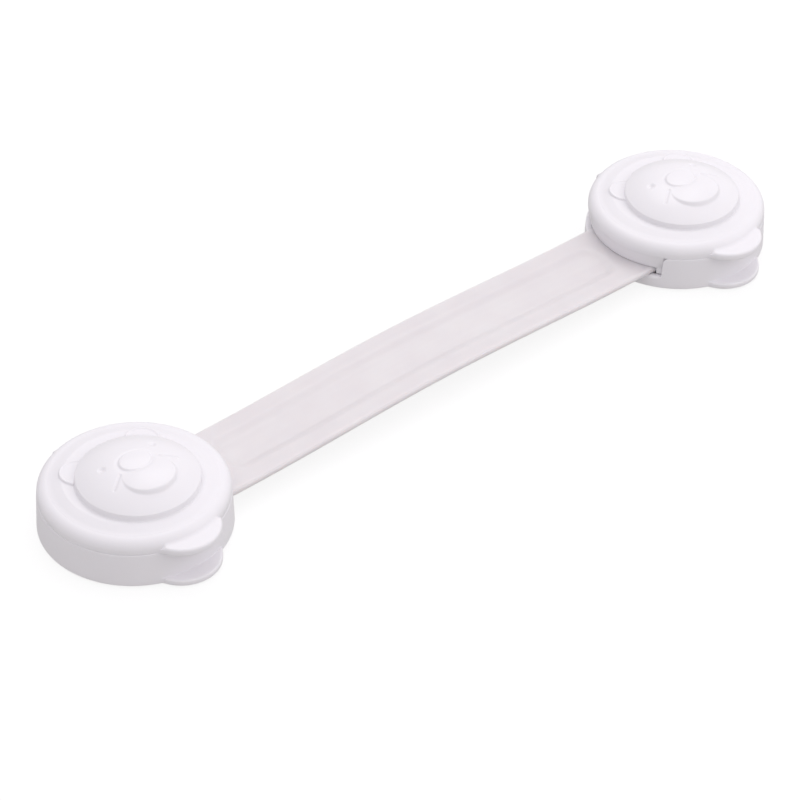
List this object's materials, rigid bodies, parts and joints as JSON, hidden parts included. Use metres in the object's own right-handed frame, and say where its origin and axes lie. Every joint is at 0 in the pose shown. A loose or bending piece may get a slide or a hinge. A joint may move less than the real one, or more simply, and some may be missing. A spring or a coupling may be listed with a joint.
{
  "type": "cabinet safety lock",
  "caption": "Round adhesive heads with hinged flip-up lids and embossed bear faces, joined by a milky flexible strap that keeps a cabinet door or drawer shut.",
  "frame": {"origin": "centre of the left head's adhesive face", "axes": "+X along the strap from the left head to the right head, +Y from the finger tabs towards the hinges, +Z out of the furniture"},
  "size_m": [0.2006, 0.0454, 0.0183],
  "materials": {
    "strap_milky": "milky translucent polyethylene, satin",
    "shell_white": "white moulded plastic, fine satin texture",
    "face_gloss": "white moulded plastic, polished",
    "pin_steel": "drawn steel wire",
    "pad_foam": "closed-cell foam with adhesive on both faces"
  },
  "bodies": {
    "left_head": {"left_base": "shell_white", "left_hinge_pin": "pin_steel", "left_adhesive_pad": "pad_foam", "strap": "strap_milky"},
    "left_cover": {"left_lid": "shell_white", "left_bear_face": "face_gloss"},
    "right_head": {"right_base": "shell_white", "right_hinge_pin": "pin_steel", "right_adhesive_pad": "pad_foam"},
    "right_cover": {"right_lid": "shell_white", "right_bear_face": "face_gloss"}
  },
  "joints": [
    {"name": "left_lid_hinge", "type": "hinge", "parent": "left_head", "child": "left_cover", "pos_m": [0, 0.019, 0.00887], "axis": [-1, 0, 0], "range_deg": [0, 100]},
    {"name": "right_lid_hinge", "type": "hinge", "parent": "right_head", "child": "right_cover", "pos_m": [0.1588, 0.019, 0.00887], "axis": [-1, 0, 0], "range_deg": [0, 100]},
    {"name": "strap_bend", "type": "hinge", "parent": "left_head", "child": "right_head", "pos_m": [0.0794, 0, 0.006], "axis": [0, -1, 0], "range_deg": [-90, 90], "stiffness_Nm_per_rad": 0.012, "deforming": ["strap"]}
  ]
}
